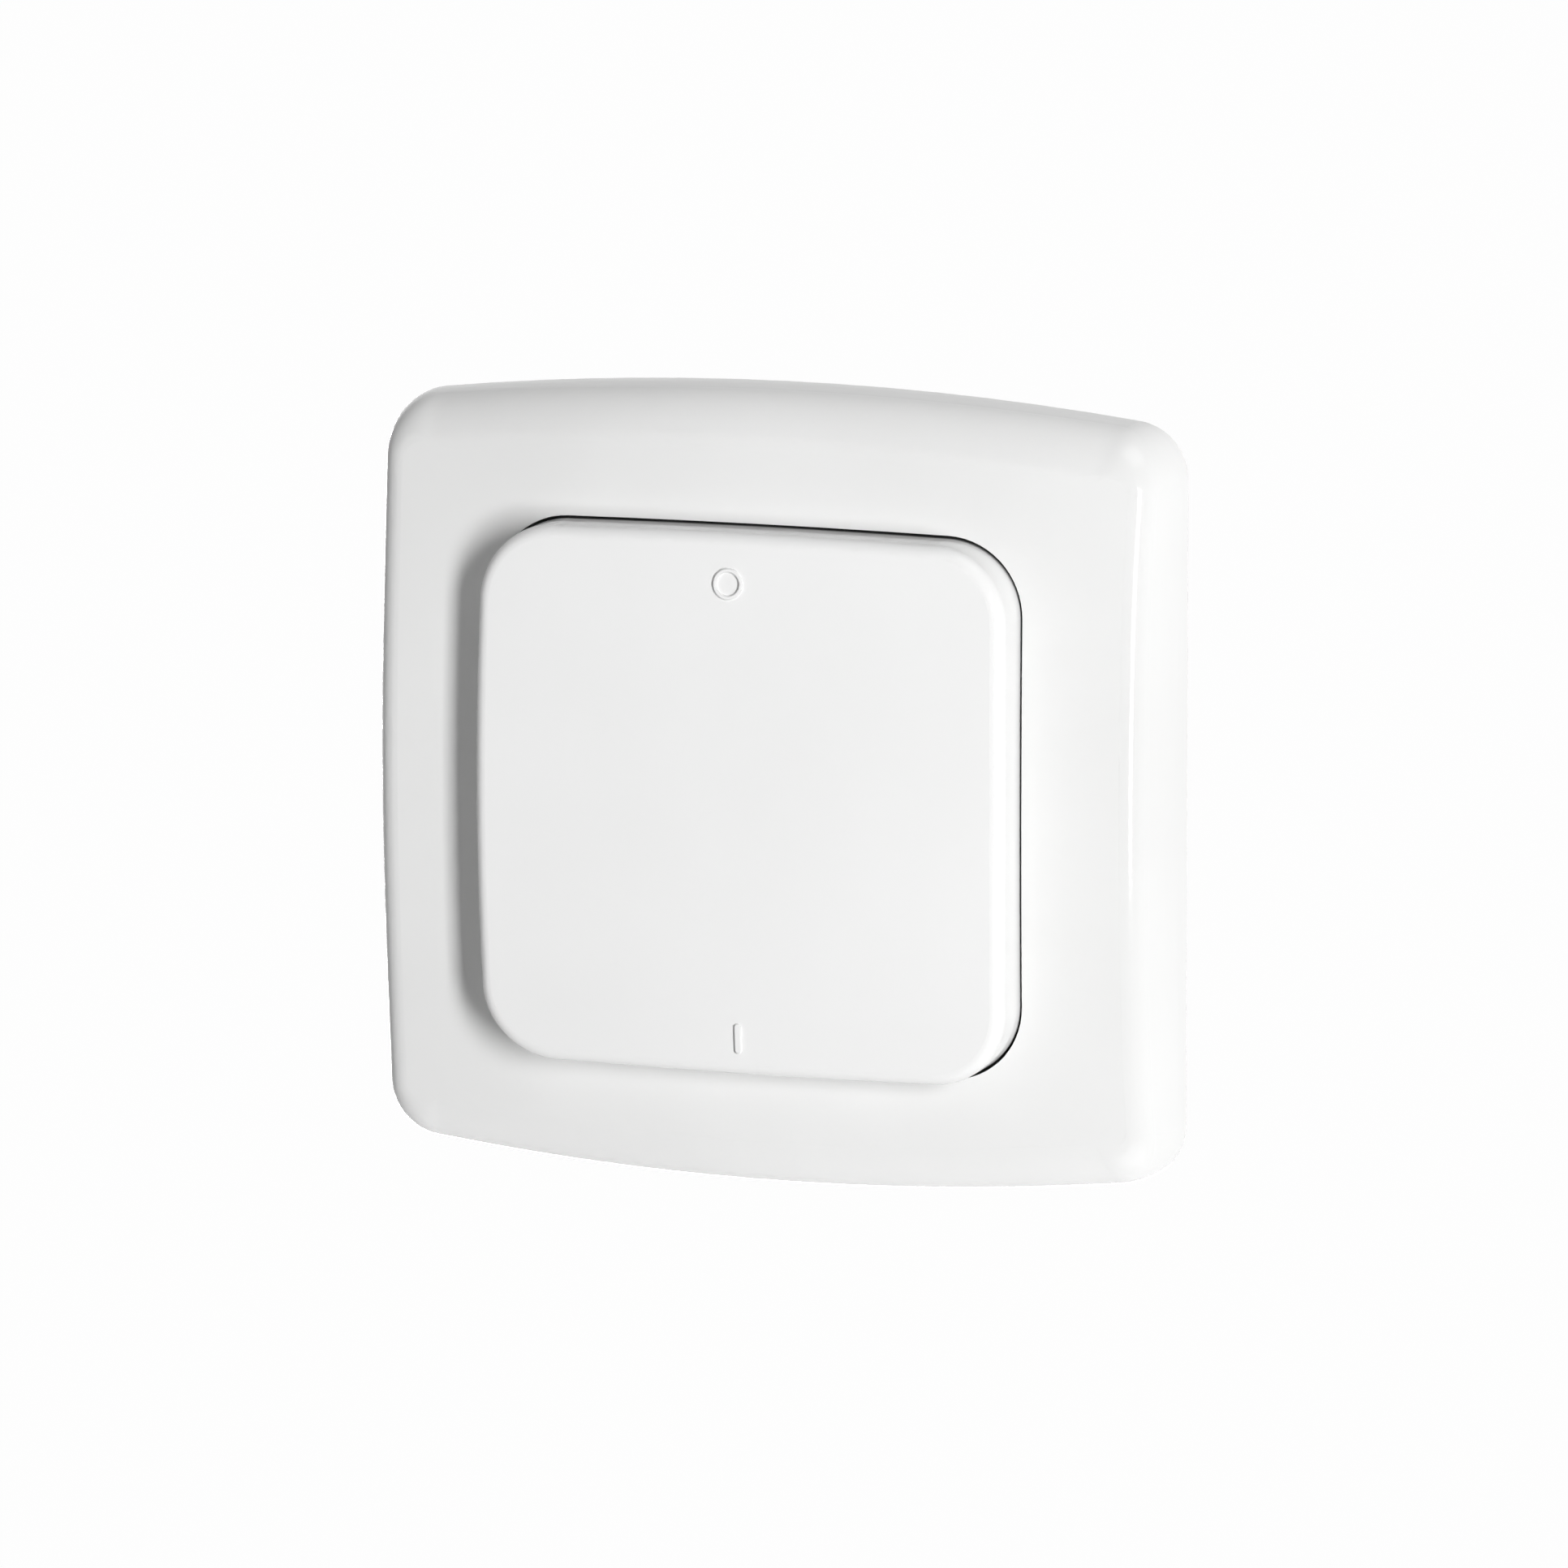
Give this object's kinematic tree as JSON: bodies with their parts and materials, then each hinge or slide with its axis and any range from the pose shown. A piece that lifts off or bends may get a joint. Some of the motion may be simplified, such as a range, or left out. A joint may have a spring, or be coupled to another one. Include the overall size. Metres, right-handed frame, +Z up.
{
  "type": "wireless wall switch",
  "caption": "Wireless remote wall switch: crowned white surround with arched ends around a rocker key that tilts over a battery radio transmitter and its push switches.",
  "frame": {"origin": "centre of the back face that lies on the wall", "axes": "+Y into the wall, so the front faces -Y; +Z up the wall; +X to the right seen from the front"},
  "size_m": [0.0828, 0.0167, 0.0802],
  "materials": {
    "frame_white": "gloss moulded",
    "key_white": "gloss moulded",
    "plate_white": "matt moulded",
    "pad_foam": "foam",
    "case_white": "matt moulded",
    "screw_steel": "zinc plated",
    "board_green": "solder mask",
    "switch_black": "matt moulded",
    "switch_steel": "pressed sheet",
    "button_grey": "satin moulded",
    "terminal_tin": "tinned",
    "cell_steel": "satin",
    "holder_black": "matt moulded",
    "contact_steel": "nickel plated",
    "lamp_red": "tinted lens",
    "antenna_copper": "bare copper wire",
    "chip_black": "moulded",
    "can_steel": "drawn can",
    "resistor_dark": "glazed film",
    "capacitor_tan": "fired"
  },
  "bodies": {
    "base": {"wall_plate": "plate_white", "adhesive_pad_lower": "pad_foam", "adhesive_pad_upper": "pad_foam", "cover_frame": "frame_white", "module_tray": "case_white", "module_cover": "case_white", "module_screws": "screw_steel", "circuit_board": "board_green", "upper_switch_body": "switch_black", "upper_switch_plate": "switch_steel", "lower_switch_body": "switch_black", "lower_switch_plate": "switch_steel", "switch_terminals": "terminal_tin", "coin_cell": "cell_steel", "cell_holder": "holder_black", "cell_clip": "contact_steel", "cell_contact": "contact_steel", "indicator_lamp": "lamp_red", "antenna_wire": "antenna_copper", "radio_chip": "chip_black", "encoder_chip": "chip_black", "resonator_can": "can_steel", "chip_resistors": "resistor_dark", "chip_capacitors": "capacitor_tan"},
    "rocker": {"rocker_key": "key_white"},
    "upper_plunger": {"upper_button": "button_grey"},
    "lower_plunger": {"lower_button": "button_grey"}
  },
  "joints": [
    {"name": "rocker_tilt", "type": "hinge", "parent": "base", "child": "rocker", "pos_m": [0, -0.009, 0], "axis": [1, 0, 0], "range_deg": [-2, 2], "stiffness_Nm_per_rad": 1.2},
    {"name": "upper_button_travel", "type": "slide", "parent": "base", "child": "upper_plunger", "axis": [0, 1, 0], "range_m": [-0.00065, 0.00065]},
    {"name": "lower_button_travel", "type": "slide", "parent": "base", "child": "lower_plunger", "axis": [0, 1, 0], "range_m": [-0.00065, 0.00065]}
  ],
  "couplings": [
    {"joint": "upper_button_travel", "follows": "rocker_tilt", "m_per_rad": -0.0175},
    {"joint": "lower_button_travel", "follows": "rocker_tilt", "m_per_rad": 0.0175}
  ]
}
